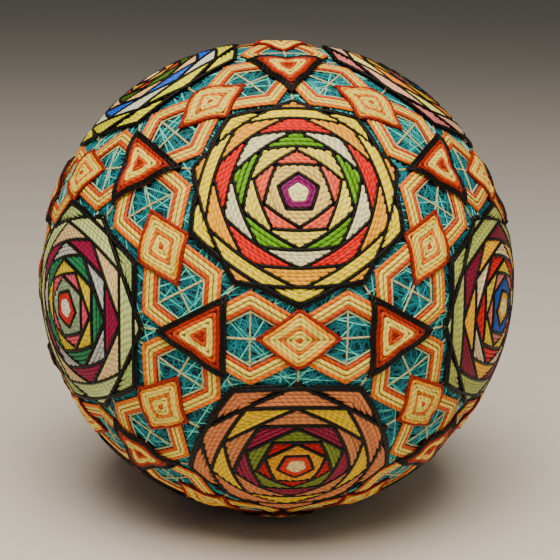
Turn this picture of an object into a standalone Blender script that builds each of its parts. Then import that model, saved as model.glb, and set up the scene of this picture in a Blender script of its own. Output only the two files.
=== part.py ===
"""Temari ball: a wound thread ball stitched all over on a twelve-rose division.

Run with: blender --background --python part.py

The ball stands on a small pressed flat, with its centre straight above the origin and +Z up. The
stitching follows the icosahedron: a rose on each of the 12 corners, a diamond on the middle of each
of the 30 edges and a triangle on the middle of each of the 20 faces. A zigzag band runs round each
rose and passes under the diamonds and the triangles beside it. Bands and diamonds are caught in one
another, so they are one piece. Sizes are in metres. Places on the ball are angles in degrees, seen
from the ball's centre and counted from a motif's middle.
"""

import itertools
import math

import bmesh
import bpy
from mathutils import Matrix, Vector

# Driving sizes: the wound ball's radius, and the floor and top of each motif above it
BALL_RADIUS = 0.0470
BAND_LEVELS = (0.0003, 0.0009)
DIAMOND_LEVELS = (0.00045, 0.0015)
TRIANGLE_LEVELS = (0.0012, 0.0018)
ROSE_LEVELS = (0.0003, 0.0012)
ROSE_STEP = 0.00012
FLAT_DEPTH = 0.0005

# Places on the ball, in degrees
ZIGZAG_SLOPE = 30.0
BAND_SIDES = (0.4, 3.9)
DIAMOND_LONG = 9.4
DIAMOND_SHORT = 6.7
TRIANGLE_CORNER = 9.6

# The five-sided layers of a rose that stand out as steps: the angle from the rose's middle to the
# middle of a side, and the turn of the corners, which point at the neighbouring roses or between.
FIFTH = 72.0
AT_ROSES, BETWEEN = 0.0, FIFTH / 2
OUTER_LAYERS = {
    "at_roses": ((20.0, AT_ROSES), (19.2, BETWEEN)),
    "between": ((20.0, BETWEEN), (17.4, AT_ROSES)),
}
STEP_LAYERS = ((15.2, BETWEEN), (10.2, AT_ROSES), (5.9, BETWEEN))
ROSE_POINTS = 20

# How finely straight stitches and flat undersides follow the ball
LEG_STEPS = 2
FLOOR_SHARES = (0.5, 1.0)
ROSE_FLOOR_SHARES = (1 / 3, 2 / 3, 1.0)
BALL_SUBDIVISIONS = 4
CUTTER_SIDE = 0.2

# Thread colours
TEAL = (0.03, 0.33, 0.38)
APRICOT = (0.80, 0.42, 0.14)
RUST = (0.42, 0.08, 0.02)
YELLOW = (0.86, 0.66, 0.10)
SALMON = (0.72, 0.36, 0.27)
SAGE = (0.47, 0.52, 0.32)
LIME = (0.55, 0.60, 0.14)
MAUVE = (0.60, 0.30, 0.33)

# Roses in the order of division(): the turn of the outermost corners and the outer thread
ROSES = {
    "front_high": ("at_roses", YELLOW),
    "front_low": ("between", SALMON),
    "back_high": ("between", SALMON),
    "back_low": ("at_roses", YELLOW),
    "top_left": ("between", LIME),
    "top_right": ("between", MAUVE),
    "base_left": ("between", MAUVE),
    "base_right": ("between", LIME),
    "side_left_front": ("at_roses", SAGE),
    "side_right_front": ("at_roses", SAGE),
    "side_left_back": ("at_roses", YELLOW),
    "side_right_back": ("at_roses", YELLOW),
}


def division():
    """The directions of the 12 roses, in the order of ROSES, with the front along -Y."""
    golden = (1 + math.sqrt(5)) / 2
    corners = (
        (0, -golden, 1),
        (0, -golden, -1),
        (0, golden, 1),
        (0, golden, -1),
        (-1, 0, golden),
        (1, 0, golden),
        (-1, 0, -golden),
        (1, 0, -golden),
        (-golden, -1, 0),
        (golden, -1, 0),
        (-golden, 1, 0),
        (golden, 1, 0),
    )
    return [Vector(corner).normalized() for corner in corners]


def neighbours(directions, count):
    """Every set of that many roses in which each is next to the others."""
    nearest = max(a.dot(b) for a, b in itertools.combinations(directions, 2))
    return [
        group
        for group in itertools.combinations(directions, count)
        if all(a.dot(b) > nearest - 0.01 for a, b in itertools.combinations(group, 2))
    ]


def facing(middle, towards):
    """The turn that brings a motif made about +Z to its middle, with its +X towards a direction."""
    z = middle.normalized()
    x = (towards - z * towards.dot(z)).normalized()
    return Matrix((x, z.cross(x), z)).transposed()


def polar(angle, turn):
    """The direction at an angle from +Z, turned about +Z from +X."""
    away, around = math.radians(angle), math.radians(turn)
    return Vector((math.sin(away) * math.cos(around), math.sin(away) * math.sin(around), math.cos(away)))


def closed_path(corners, steps):
    """Directions round a figure of straight stitches through its corners."""
    legs = zip(corners, corners[1:] + corners[:1])
    return [start.slerp(end, step / steps) for start, end in legs for step in range(steps)]


def drawn_in(outline, share):
    """The outline drawn in towards +Z to a share of its size."""
    return [Vector((0, 0, 1)).slerp(point, share) for point in outline]


def skin(bm, loops):
    """Faces between each loop of vertices and the next. The loops have one length."""
    for lower, upper in zip(loops, loops[1:]):
        for i in range(len(lower)):
            j = (i + 1) % len(lower)
            bm.faces.new((lower[i], lower[j], upper[j], upper[i]))


def cap(bm, loop, height):
    """A fan of faces that closes a loop about +Z."""
    middle = bm.verts.new((0, 0, height))
    for i, vertex in enumerate(loop):
        bm.faces.new((vertex, loop[(i + 1) % len(loop)], middle))


def add_loops(bm, rings):
    """A loop of vertices for each ring, which is a list of directions and a radius."""
    return [[bm.verts.new(point * radius) for point in directions] for directions, radius in rings]


def finished_mesh(bm, name):
    """The mesh of a closed solid, with its faces pointing out."""
    bmesh.ops.recalc_face_normals(bm, faces=bm.faces)
    mesh = bpy.data.meshes.new(name)
    bm.to_mesh(mesh)
    bm.free()
    return mesh


def pad_mesh(name, rings, floor_shares, floor_level):
    """A pad about +Z, whose top is made of rings from its outline inwards."""
    floor_radius = BALL_RADIUS + floor_level
    floor = [(drawn_in(rings[0][0], share), floor_radius) for share in floor_shares]
    bm = bmesh.new()
    loops = add_loops(bm, (*floor, *rings))
    skin(bm, loops)
    cap(bm, loops[0], floor_radius)
    cap(bm, loops[-1], rings[-1][1])
    return finished_mesh(bm, name)


def straight_pad_mesh(name, corners, levels):
    """A pad of one height with straight sides between its corners."""
    outline = closed_path(corners, LEG_STEPS)
    top = BALL_RADIUS + levels[1]
    rings = ((outline, top), (drawn_in(outline, FLOOR_SHARES[0]), top))
    return pad_mesh(name, rings, FLOOR_SHARES, levels[0])


def diamond_mesh():
    """The long-cornered pad that covers two bands where they meet."""
    reach = (DIAMOND_LONG, DIAMOND_SHORT, DIAMOND_LONG, DIAMOND_SHORT)
    corners = [polar(angle, 90 * i) for i, angle in enumerate(reach)]
    return straight_pad_mesh("diamond", corners, DIAMOND_LEVELS)


def triangle_mesh():
    """The three-cornered pad that lies on three bands where they meet."""
    corners = [polar(TRIANGLE_CORNER, 120 * i) for i in range(3)]
    return straight_pad_mesh("triangle", corners, TRIANGLE_LEVELS)


def layer_reach(side_middle, corner_turn, turn):
    """How far a five-sided layer reaches from the rose's middle, at one turn about it."""
    from_side = (turn - corner_turn) % FIFTH - FIFTH / 2
    reach = math.tan(math.radians(side_middle)) / math.cos(math.radians(from_side))
    return math.degrees(math.atan(reach))


def layer_outline(*layers):
    """The outline of five-sided layers that lie over each other."""
    turns = [360 / ROSE_POINTS * i for i in range(ROSE_POINTS)]
    return [polar(max(layer_reach(*layer, turn) for layer in layers), turn) for turn in turns]


def rose_mesh(corners):
    """A rose: a ten-cornered pad whose inner layers stand in low steps, corners over sides."""
    radius = BALL_RADIUS + ROSE_LEVELS[1]
    rings = [(layer_outline(*OUTER_LAYERS[corners]), radius)]
    for layer in STEP_LAYERS:
        outline = layer_outline(layer)
        rings += [(outline, radius), (outline, radius + ROSE_STEP)]
        radius += ROSE_STEP
    return pad_mesh("rose_" + corners, rings, ROSE_FLOOR_SHARES, ROSE_LEVELS[0])


def zigzag(edge_angle, face_angle):
    """The corners of the marked line round a rose at +Z: edge, peak, face, peak, five times."""
    corners = []
    for side in range(5):
        edge = polar(edge_angle, FIFTH * side)
        face = polar(face_angle, FIFTH * (side + 0.5))
        next_edge = polar(edge_angle, FIFTH * (side + 1))
        inwards = edge.cross(face).normalized(), face.cross(next_edge).normalized()
        rise = math.sin(edge.angle(face) / 2) * math.tan(math.radians(ZIGZAG_SLOPE))
        peaks = [
            ((valley + face).normalized() + inward * rise).normalized()
            for valley, inward in zip((edge, next_edge), inwards)
        ]
        corners += [edge, peaks[0], face, peaks[1]]
    return corners


def beside(before, corner, after, offset):
    """The corner of the path that runs at an angle inside the path through three corners."""
    first, second = before.cross(corner).normalized(), corner.cross(after).normalized()
    inside = (first + second) * math.sin(math.radians(offset)) / (1 + first.dot(second))
    along = first.cross(second).normalized()
    height = math.sqrt(1 - inside.length_squared)
    return inside + along * math.copysign(height, along.dot(corner))


def band_mesh(edge_angle, face_angle):
    """The closed zigzag band round one rose."""
    marked = zigzag(edge_angle, face_angle)
    neighbourhoods = list(zip(marked[-1:] + marked[:-1], marked, marked[1:] + marked[:1]))
    outer, inner = (
        closed_path([beside(*corners, offset) for corners in neighbourhoods], LEG_STEPS) for offset in BAND_SIDES
    )
    low, high = (BALL_RADIUS + level for level in BAND_LEVELS)
    bm = bmesh.new()
    loops = add_loops(bm, ((outer, low), (outer, high), (inner, high), (inner, low)))
    skin(bm, loops + loops[:1])
    return finished_mesh(bm, "zigzag_band")


def ball_mesh():
    """The wound ball under the stitches."""
    bm = bmesh.new()
    bmesh.ops.create_icosphere(bm, subdivisions=BALL_SUBDIVISIONS, radius=BALL_RADIUS)
    mesh = bpy.data.meshes.new("wound_ball")
    bm.to_mesh(mesh)
    bm.free()
    return mesh


def thread(name, colour):
    """A matt cotton finish of one colour, made once."""
    if name not in bpy.data.materials:
        material = bpy.data.materials.new(name)
        material.use_nodes = True
        shader = material.node_tree.nodes["Principled BSDF"]
        shader.inputs["Base Color"].default_value = (*colour, 1)
        shader.inputs["Roughness"].default_value = 0.75
        shader.inputs["Metallic"].default_value = 0
    return bpy.data.materials[name]


def place(name, mesh, collection, parent=None, turn=None):
    """An object of the mesh, turned about the ball's centre."""
    obj = bpy.data.objects.new(name, mesh)
    collection.objects.link(obj)
    obj.parent = parent
    if turn is not None:
        obj.rotation_euler = turn.to_euler()
    return obj


def hide(obj):
    """Marks an object that only a Boolean reads."""
    obj.hide_render = True
    obj.display_type = "WIRE"


def floor_cutter(collection):
    """A block under the floor, which presses the ball's small flat."""
    bm = bmesh.new()
    bmesh.ops.create_cube(bm, size=CUTTER_SIDE)
    bmesh.ops.translate(bm, verts=bm.verts, vec=(0, 0, -CUTTER_SIDE / 2))
    cutter = place("floor_cutter", finished_mesh(bm, "floor_cutter"), collection)
    hide(cutter)
    return cutter


def add_lattice(parts, helpers, cutters, centre, roses):
    """The 12 bands and the 30 diamonds as one piece, pressed flat under the lowest diamond."""
    edges, faces = neighbours(roses, 2), neighbours(roses, 3)
    edge_angle = math.degrees(roses[0].angle(sum(next(e for e in edges if roses[0] in e), Vector())))
    face_angle = math.degrees(roses[0].angle(sum(next(f for f in faces if roses[0] in f), Vector())))
    band, diamond = band_mesh(edge_angle, face_angle), diamond_mesh()
    first_turn, *band_turns = rose_turns(roses)

    lattice = place("band_lattice", band, parts, centre, first_turn)
    motifs = [("band", band, turn) for turn in band_turns]
    motifs += [("diamond", diamond, facing(a + b, a.cross(b))) for a, b in edges]
    for number, (name, mesh, turn) in enumerate(motifs, 2):
        hide(place(f"{name}_{number:02d}", mesh, helpers, centre, turn))
    joined = lattice.modifiers.new("bands_and_diamonds", "BOOLEAN")
    joined.operation = "UNION"
    joined.operand_type = "COLLECTION"
    joined.collection = helpers
    pressed = lattice.modifiers.new("pressed_flat", "BOOLEAN")
    pressed.operation = "DIFFERENCE"
    pressed.object = floor_cutter(cutters)
    lattice.data.materials.append(thread("band_thread", APRICOT))


def rose_turns(roses):
    """The turn of each rose, with its +X towards one of its neighbours."""
    return [facing(rose, max((other for other in roses if other != rose), key=rose.dot)) for rose in roses]


def new_collection(name):
    collection = bpy.data.collections.new(name)
    bpy.context.scene.collection.children.link(collection)
    return collection


def main():
    for obj in list(bpy.data.objects):
        bpy.data.objects.remove(obj)
    parts = new_collection("temari_ball")
    helpers = new_collection("lattice_motifs")
    cutters = new_collection("cutters")

    centre = bpy.data.objects.new("ball_centre", None)
    centre.location.z = BALL_RADIUS + DIAMOND_LEVELS[1] - FLAT_DEPTH
    parts.objects.link(centre)

    roses = division()
    ball = place("wound_ball", ball_mesh(), parts, centre)
    ball.data.materials.append(thread("wrap_thread", TEAL))
    add_lattice(parts, helpers, cutters, centre, roses)

    rose_meshes = {corners: rose_mesh(corners) for corners in OUTER_LAYERS}
    for (name, (corners, colour)), turn in zip(ROSES.items(), rose_turns(roses)):
        rose = place("rose_" + name, rose_meshes[corners].copy(), parts, centre, turn)
        rose.data.materials.append(thread(f"rose_thread_{list(ROSES).index(name) + 1:02d}", colour))

    triangle = triangle_mesh()
    triangle.materials.append(thread("triangle_thread", RUST))
    for number, (a, b, c) in enumerate(neighbours(roses, 3), 1):
        place(f"triangle_{number:02d}", triangle, parts, centre, facing(a + b + c, a))


main()
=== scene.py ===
# %% [markdown]
# A temari is a ball of wound yarn that is wrapped in sewing thread and then embroidered all over.
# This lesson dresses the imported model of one: every row of embroidery thread becomes a real,
# slightly rounded strip that lies on the ball, so light, shadow and outline come from geometry.
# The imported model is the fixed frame. It gives the ball's size and place, and nothing in it moves.

# %% Load the fixed frame
import math
from itertools import combinations

import bpy
import numpy as np
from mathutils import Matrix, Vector


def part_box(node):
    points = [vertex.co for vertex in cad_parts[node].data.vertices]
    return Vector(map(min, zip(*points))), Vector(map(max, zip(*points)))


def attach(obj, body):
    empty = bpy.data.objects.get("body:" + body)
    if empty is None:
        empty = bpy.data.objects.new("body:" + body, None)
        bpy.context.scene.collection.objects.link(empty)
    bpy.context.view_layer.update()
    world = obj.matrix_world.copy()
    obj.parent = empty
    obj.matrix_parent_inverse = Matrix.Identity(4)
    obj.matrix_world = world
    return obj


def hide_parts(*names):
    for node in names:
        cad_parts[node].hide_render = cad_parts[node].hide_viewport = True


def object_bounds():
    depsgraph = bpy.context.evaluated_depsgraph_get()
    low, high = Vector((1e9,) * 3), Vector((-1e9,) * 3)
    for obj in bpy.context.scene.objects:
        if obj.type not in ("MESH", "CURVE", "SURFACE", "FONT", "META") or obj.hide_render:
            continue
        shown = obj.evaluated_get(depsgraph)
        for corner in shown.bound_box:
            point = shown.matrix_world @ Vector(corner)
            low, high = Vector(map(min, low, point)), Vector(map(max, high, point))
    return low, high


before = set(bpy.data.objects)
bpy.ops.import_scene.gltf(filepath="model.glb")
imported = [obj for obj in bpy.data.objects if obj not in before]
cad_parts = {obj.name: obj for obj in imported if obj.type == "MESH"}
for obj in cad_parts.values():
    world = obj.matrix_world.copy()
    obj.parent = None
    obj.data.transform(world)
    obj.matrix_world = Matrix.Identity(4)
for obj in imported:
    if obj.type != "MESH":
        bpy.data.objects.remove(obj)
cad_low, cad_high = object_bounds()
print("packed nodes:", len(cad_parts))

# %% [markdown]
# All sizes follow from the wound ball, so it is measured first. Its box gives the radius and the
# centre. Heights are counted from the ball's own surface, and places on it are angles in degrees.

# %% Measure the wound ball
ball_low, ball_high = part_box("wound_ball")
BALL_CENTRE = np.array((ball_low + ball_high) / 2)
BALL_RADIUS = max(ball_high - ball_low) / 2
FLOOR_Z = cad_low.z
MM = 0.001
print(f"ball radius {BALL_RADIUS / MM:.2f} mm, centre {BALL_CENTRE[2] / MM:.2f} mm above the floor")

# %% [markdown]
# The camera comes before the pieces, because it decides which of them fill the picture. It looks a
# little down on the ball from just left of the front, through a long lens, so the ball's outline
# is nearly as round as in a parallel view. The shift centres the ball as the photograph has it.

# %% Set the camera
STITCHED_RADIUS = BALL_RADIUS + 1.3 * MM
VIEW_AZIMUTH = math.radians(-5.1)
VIEW_ELEVATION = math.radians(13.2)
VIEW_ROLL = math.radians(1.05)
VIEW_DISTANCE = 6.32 * STITCHED_RADIUS
FRAME_PIXELS = 560
FOCAL_PIXELS = 1488
BALL_LEFT_OF_MIDDLE, BALL_ABOVE_MIDDLE = 3.7, 2.2

camera = bpy.data.objects.new("camera", bpy.data.cameras.new("camera"))
bpy.context.scene.collection.objects.link(camera)
bpy.context.scene.camera = camera
back = Vector(
    (
        math.sin(VIEW_AZIMUTH) * math.cos(VIEW_ELEVATION),
        -math.cos(VIEW_AZIMUTH) * math.cos(VIEW_ELEVATION),
        math.sin(VIEW_ELEVATION),
    )
)
camera.location = Vector(BALL_CENTRE) + back * VIEW_DISTANCE
camera.rotation_euler = back.to_track_quat("Z", "Y").to_euler()
camera.rotation_euler.rotate_axis("Z", VIEW_ROLL)
camera.data.lens = camera.data.sensor_width * FOCAL_PIXELS / FRAME_PIXELS
camera.data.shift_x = BALL_LEFT_OF_MIDDLE / FRAME_PIXELS
camera.data.shift_y = -BALL_ABOVE_MIDDLE / FRAME_PIXELS
camera.data.clip_start, camera.data.clip_end = 0.01, 100
print(f"camera {VIEW_DISTANCE:.3f} m away, lens {camera.data.lens:.0f} mm")

# %% [markdown]
# Shader maths reads best as plain arithmetic. `Value` wraps one socket of a node tree and lets
# Python's own operators add Math nodes, in both orders, so `1 - edge` works as well as `edge - 1`.
# Colours and vectors go through their own nodes, because a Math node would turn a colour grey.


# %% Write shader maths as Python expressions
class Value:
    """A number that changes over a surface, as a socket of a node tree."""

    def __init__(self, finish, socket):
        self.finish, self.socket = finish, socket

    def maths(self, operation, *others):
        return self.finish.add("ShaderNodeMath", {"operation": operation}, [self, *others])

    def __add__(self, other):
        return self.maths("ADD", other)

    __radd__ = __add__

    def __mul__(self, other):
        return self.maths("MULTIPLY", other)

    __rmul__ = __mul__

    def __sub__(self, other):
        return self.maths("SUBTRACT", other)

    def __rsub__(self, other):
        return self.finish.add("ShaderNodeMath", {"operation": "SUBTRACT"}, [other, self])

    def clamped(self):
        """The value kept between 0 and 1."""
        return self.finish.add("ShaderNodeClamp", {}, [self])


# %% [markdown]
# Dyes are given as they should look on the ball. A render pales bright, pure colours, so `dyed`
# first deepens a colour. Then it strengthens red, green and blue and takes a little of the others
# out of each. Only red gains from green, which keeps yellow and orange threads warm.

# %% Mix the dyes
DEEPENING = 1.42
RED_GAIN, GREEN_GAIN, BLUE_GAIN = 1.2, 1.45, 1.55
GREEN_INTO_RED = 0.15
BLUE_OUT_OF_RED, BLUE_OUT_OF_GREEN, GREEN_OUT_OF_BLUE = 0.12, 0.05, 0.25
RED_OUT_OF_OTHERS = 0.01
FAINTEST_DYE = 0.001


def srgb(red, green, blue):
    """A colour on a 0 to 255 scale, as the linear colour that shaders use."""
    channels = np.array((red, green, blue)) / 255
    linear = np.where(channels <= 0.04045, channels / 12.92, ((channels + 0.055) / 1.055) ** 2.4)
    return (*linear.tolist(), 1.0)


def dyed(red, green, blue):
    """A seen colour as a dye: deeper and purer, because bright light washes colours out."""
    red, green, blue = np.array(srgb(red, green, blue)[:3]) ** DEEPENING
    dye = (
        RED_GAIN * red + GREEN_INTO_RED * green - BLUE_OUT_OF_RED * blue,
        GREEN_GAIN * green - BLUE_OUT_OF_GREEN * blue - RED_OUT_OF_OTHERS * red,
        BLUE_GAIN * blue - GREEN_OUT_OF_BLUE * green - RED_OUT_OF_OTHERS * red,
    )
    return (*np.clip(dye, FAINTEST_DYE, 1).tolist(), 1.0)


# %% [markdown]
# `Finish` is one material. Its `add` method is the only place that makes nodes: it takes a node's
# type, the settings that shape its sockets, and then the values or links of its inputs.


# %% Collect a material's nodes in one place
class Finish:
    """A material built round one Principled shader."""

    def __init__(self, name, **constants):
        self.material = bpy.data.materials.new(name)
        self.material.use_nodes = True
        self.nodes = self.material.node_tree.nodes
        self.links = self.material.node_tree.links
        self.shader = self.nodes["Principled BSDF"]
        for socket, constant in constants.items():
            self.shader.inputs[socket.replace("_", " ")].default_value = constant

    def put(self, socket, value):
        if isinstance(value, Value):
            self.links.new(value.socket, socket)
        else:
            socket.default_value = value

    def add(self, kind, settings, inputs, output=0):
        """Adds a node. Inputs are a list in socket order or a dictionary by name or place."""
        node = self.nodes.new(kind)
        for setting, value in settings.items():
            setattr(node, setting, value)
        pairs = inputs.items() if isinstance(inputs, dict) else enumerate(inputs)
        for socket, value in pairs:
            self.put(node.inputs[socket], value)
        return Value(self, node.outputs[output])

    def attribute(self, name, output):
        return self.add("ShaderNodeAttribute", {"attribute_name": name}, {}, output)

    def parts(self, vector):
        """The three numbers of a vector."""
        first = self.add("ShaderNodeSeparateXYZ", {}, [vector])
        return [Value(self, socket) for socket in first.socket.node.outputs]

    def noise(self, x, y, z):
        """Soft noise whose largest spots are about one unit wide."""
        inputs = {"Vector": self.vector(x, y, z), "Scale": 1.0, "Detail": 2.0}
        return self.add("ShaderNodeTexNoise", {}, inputs)

    def vector(self, x, y, z):
        return self.add("ShaderNodeCombineXYZ", {}, [x, y, z])

    def shaded(self, colour, shade_and_tone):
        """The colour times a number, which darkens below 1 and lightens above it."""
        return self.add("ShaderNodeVectorMath", {"operation": "SCALE"}, {0: colour, "Scale": shade_and_tone})

    def paled(self, colour, extra):
        """The colour with the same number added to its red, green and blue."""
        grey = self.vector(extra, extra, extra)
        return self.add("ShaderNodeVectorMath", {"operation": "ADD"}, [colour, grey])

    def drive(self, socket, value):
        self.put(self.shader.inputs[socket], value)

    def bump(self, height, distance):
        inputs = {"Height": height, "Distance": distance}
        self.drive("Normal", self.add("ShaderNodeBump", {}, inputs))


# %% [markdown]
# Light and floor are plain. The ball is lit from high above the front, which leaves its lower half
# deeper in colour, so one soft area light up there does most of the work. A wide weak one fills the
# shadows, and the pale world lights the rest evenly. The floor is there for the ball to rest on.

# %% Make the floor and the soft studio light
FLOOR_HALF = 30.0
floor_mesh = bpy.data.meshes.new("floor")
floor_corners = [(x * FLOOR_HALF, y * FLOOR_HALF, FLOOR_Z) for x, y in ((-1, -1), (1, -1), (1, 1), (-1, 1))]
floor_mesh.from_pydata(floor_corners, [], [(0, 1, 2, 3)])
floor = bpy.data.objects.new("floor", floor_mesh)
bpy.context.scene.collection.objects.link(floor)
floor_finish = Finish("pale_floor", Roughness=0.9, Base_Color=srgb(222, 218, 210))
floor_mesh.materials.append(floor_finish.material)

WORLD_STRENGTH = 0.10
world = bpy.data.worlds.new("studio")
bpy.context.scene.world = world
world.use_nodes = True
world.node_tree.nodes["Background"].inputs["Color"].default_value = srgb(236, 232, 226)
world.node_tree.nodes["Background"].inputs["Strength"].default_value = WORLD_STRENGTH

LAMPS = {
    # name: (place in ball radii from the centre, size in metres, watts, colour)
    "key": ((-0.8, -5.8, 12.0), 0.45, 6.9, srgb(255, 242, 224)),
    "fill": ((5.0, -12.0, 3.0), 0.9, 0.5, srgb(240, 244, 255)),
}
for lamp_name, (lamp_place, lamp_size, watts, tint) in LAMPS.items():
    lamp_data = bpy.data.lights.new(lamp_name, "AREA")
    lamp_data.size, lamp_data.energy, lamp_data.color = lamp_size, watts, tint[:3]
    lamp = bpy.data.objects.new(lamp_name, lamp_data)
    bpy.context.scene.collection.objects.link(lamp)
    lamp.location = Vector(BALL_CENTRE) + Vector(lamp_place) * BALL_RADIUS
    lamp.rotation_euler = (lamp.location - Vector(BALL_CENTRE)).to_track_quat("Z", "Y").to_euler()
print("lamps:", ", ".join(LAMPS))

# %% [markdown]
# The maker divides the ball with marking threads before stitching. This one has twelve rose
# centres, the corners of an icosahedron, so neighbours give 30 edge middles and 20 face middles.
# Two roses lie in front, one above and one below the middle.


# %% Divide the ball
def unit(vector):
    return np.asarray(vector, float) / np.linalg.norm(vector)


GOLDEN = (1 + math.sqrt(5)) / 2
ROSE_PLACES = {
    "front_high": (0, -GOLDEN, 1),
    "front_low": (0, -GOLDEN, -1),
    "back_high": (0, GOLDEN, 1),
    "back_low": (0, GOLDEN, -1),
    "top_left": (-1, 0, GOLDEN),
    "top_right": (1, 0, GOLDEN),
    "base_left": (-1, 0, -GOLDEN),
    "base_right": (1, 0, -GOLDEN),
    "side_left_front": (-GOLDEN, -1, 0),
    "side_right_front": (GOLDEN, -1, 0),
    "side_left_back": (-GOLDEN, 1, 0),
    "side_right_back": (GOLDEN, 1, 0),
}
ROSES = {name: unit(place) for name, place in ROSE_PLACES.items()}
SMALL = 0.01


def next_to_each_other(count):
    """Every set of that many rose centres that are all neighbours."""
    nearly = max(a @ b for a, b in combinations(ROSES.values(), 2)) - SMALL
    return [
        group
        for group in combinations(ROSES.values(), count)
        if all(a @ b > nearly for a, b in combinations(group, 2))
    ]


EDGES, FACES = next_to_each_other(2), next_to_each_other(3)
EDGE_ANGLE = math.degrees(math.acos(EDGES[0][0] @ unit(EDGES[0][0] + EDGES[0][1])))
FACE_ANGLE = math.degrees(math.acos(FACES[0][0] @ unit(sum(FACES[0]))))
EDGE_TO_FACE = math.degrees(math.acos(unit(sum(FACES[0])) @ unit(FACES[0][0] + FACES[0][1])))
print(f"{len(EDGES)} edges at {EDGE_ANGLE:.2f} degrees, {len(FACES)} faces at {FACE_ANGLE:.2f} degrees")

# %% [markdown]
# A tight thread follows the shortest way over the ball, which is a great circle. On a flat plane
# that touches the ball at a motif's middle, seen from the ball's centre, every great circle is a
# straight line. So each motif is drawn with straight lines on its own plane, where a place at an
# angle from the middle lies at the tangent of that angle, and is then cast onto the ball.


# %% Draw on a plane and cast onto the ball
def tan(degrees):
    return math.tan(math.radians(degrees))


def facing(middle, towards):
    """The axes of a motif: its own X runs towards a direction, its Z out of the ball."""
    out = unit(middle)
    along = unit(towards - out * (towards @ out))
    return np.column_stack([along, np.cross(out, along), out])


def cast(points, axes):
    """Directions from the ball's centre through points on a motif's plane."""
    rays = np.column_stack([points, np.ones(len(points))]) @ axes.T
    return rays / np.linalg.norm(rays, axis=1, keepdims=True)


def turned(points, degrees):
    """Points on the plane, turned about the motif's middle."""
    c, s = math.cos(math.radians(degrees)), math.sin(math.radians(degrees))
    return np.asarray(points) @ np.array([[c, s], [-s, c]])


# %% [markdown]
# Round every rose runs a band of thread that zigzags from edge middle to face middle and bends
# towards the rose halfway. Everything else is placed against it: roses stop short of it, diamonds
# and triangles ride over it. The division looks the same round all twelve rose centres, so any
# place on the ball can be folded into one narrow wedge beside its nearest rose. The path of the
# band has to be worked out only there.

# %% Fold the ball into one wedge
FIFTH = 72
ZIGZAG_SLOPE = 30


def neighbour(rose):
    """The centre of the nearest other rose."""
    others = [other for other in ROSES.values() if other @ rose < 1 - SMALL]
    return max(others, key=lambda other: other @ rose)


def polar(out, turn):
    """A direction at an angle from +Z, turned round it from +X."""
    out, turn = math.radians(out), math.radians(turn)
    return np.array([math.sin(out) * math.cos(turn), math.sin(out) * math.sin(turn), math.cos(out)])


def folded(rays):
    """Each direction as seen from its nearest rose, mirrored into one wedge, and that rose's number."""
    seen = np.einsum("ni,rij->nrj", rays, all_axes)
    nearest = seen[..., 2].argmax(axis=1)
    seen = seen[np.arange(len(rays)), nearest]
    turn = np.degrees(np.arctan2(seen[:, 1], seen[:, 0]))
    turn = np.radians(np.abs((turn + FIFTH / 2) % FIFTH - FIFTH / 2))
    out = np.hypot(seen[:, 0], seen[:, 1])
    return np.column_stack([out * np.cos(turn), out * np.sin(turn), seen[:, 2]]), nearest


def beyond_zigzag(wedge_rays):
    """How far each folded direction lies on the rose's side of the zigzag, in degrees."""
    sides = [np.cross(WEDGE_EDGE, WEDGE_PEAK), np.cross(WEDGE_PEAK, WEDGE_FACE)]
    return np.degrees(np.arcsin(np.max([wedge_rays @ unit(side) for side in sides], axis=0)))


rose_axes = {name: facing(rose, neighbour(rose)) for name, rose in ROSES.items()}
all_axes = np.stack(list(rose_axes.values()))
WEDGE_EDGE, WEDGE_FACE = polar(EDGE_ANGLE, 0), polar(FACE_ANGLE, FIFTH / 2)
rise = math.sin(math.radians(EDGE_TO_FACE / 2)) * tan(ZIGZAG_SLOPE)
WEDGE_PEAK = unit(unit(WEDGE_EDGE + WEDGE_FACE) + unit(np.cross(WEDGE_EDGE, WEDGE_FACE)) * rise)
print("rose centre lies", beyond_zigzag(np.array([[0.0, 0.0, 1.0]])).round(1), "degrees inside its zigzag")

# %% [markdown]
# One thread is a strip with a loaf-shaped section: round on top where it shows, flat below where
# it lies on the ball. Its ends taper and dive, as a real stitch does where the needle takes it
# into the ball. All threads of a motif become one mesh. Each point also remembers its dye, how far
# along and around the thread it lies, and which thread it is, for the shader to use later. Sewing
# thread is so fine that a ridge of two sides is enough, and its underside is left out.

# %% Describe a thread's section
ROUND_TOP = [(math.cos(math.radians(turn)), math.sin(math.radians(turn))) for turn in range(0, 181, 36)]
FLAT_BELOW = [(-0.7, -0.45), (0.7, -0.45)]
LOAF = np.array(ROUND_TOP + FLAT_BELOW)
RIDGE = np.array([(1.0, 0.0), (0.0, 1.0), (-1.0, 0.0)])
THREAD_WIDTH = 0.70 * MM
THREAD_HEIGHT = 0.27 * MM
THREAD_GIRTH = 1.7 * MM
END_LENGTH = 0.35 * MM
END_SHRINK = 0.08
END_DIVE = 0.22 * MM
PLY_SHIFT = 50
LOWEST = FLOOR_Z - BALL_CENTRE[2]
rng = np.random.default_rng(12)


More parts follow.
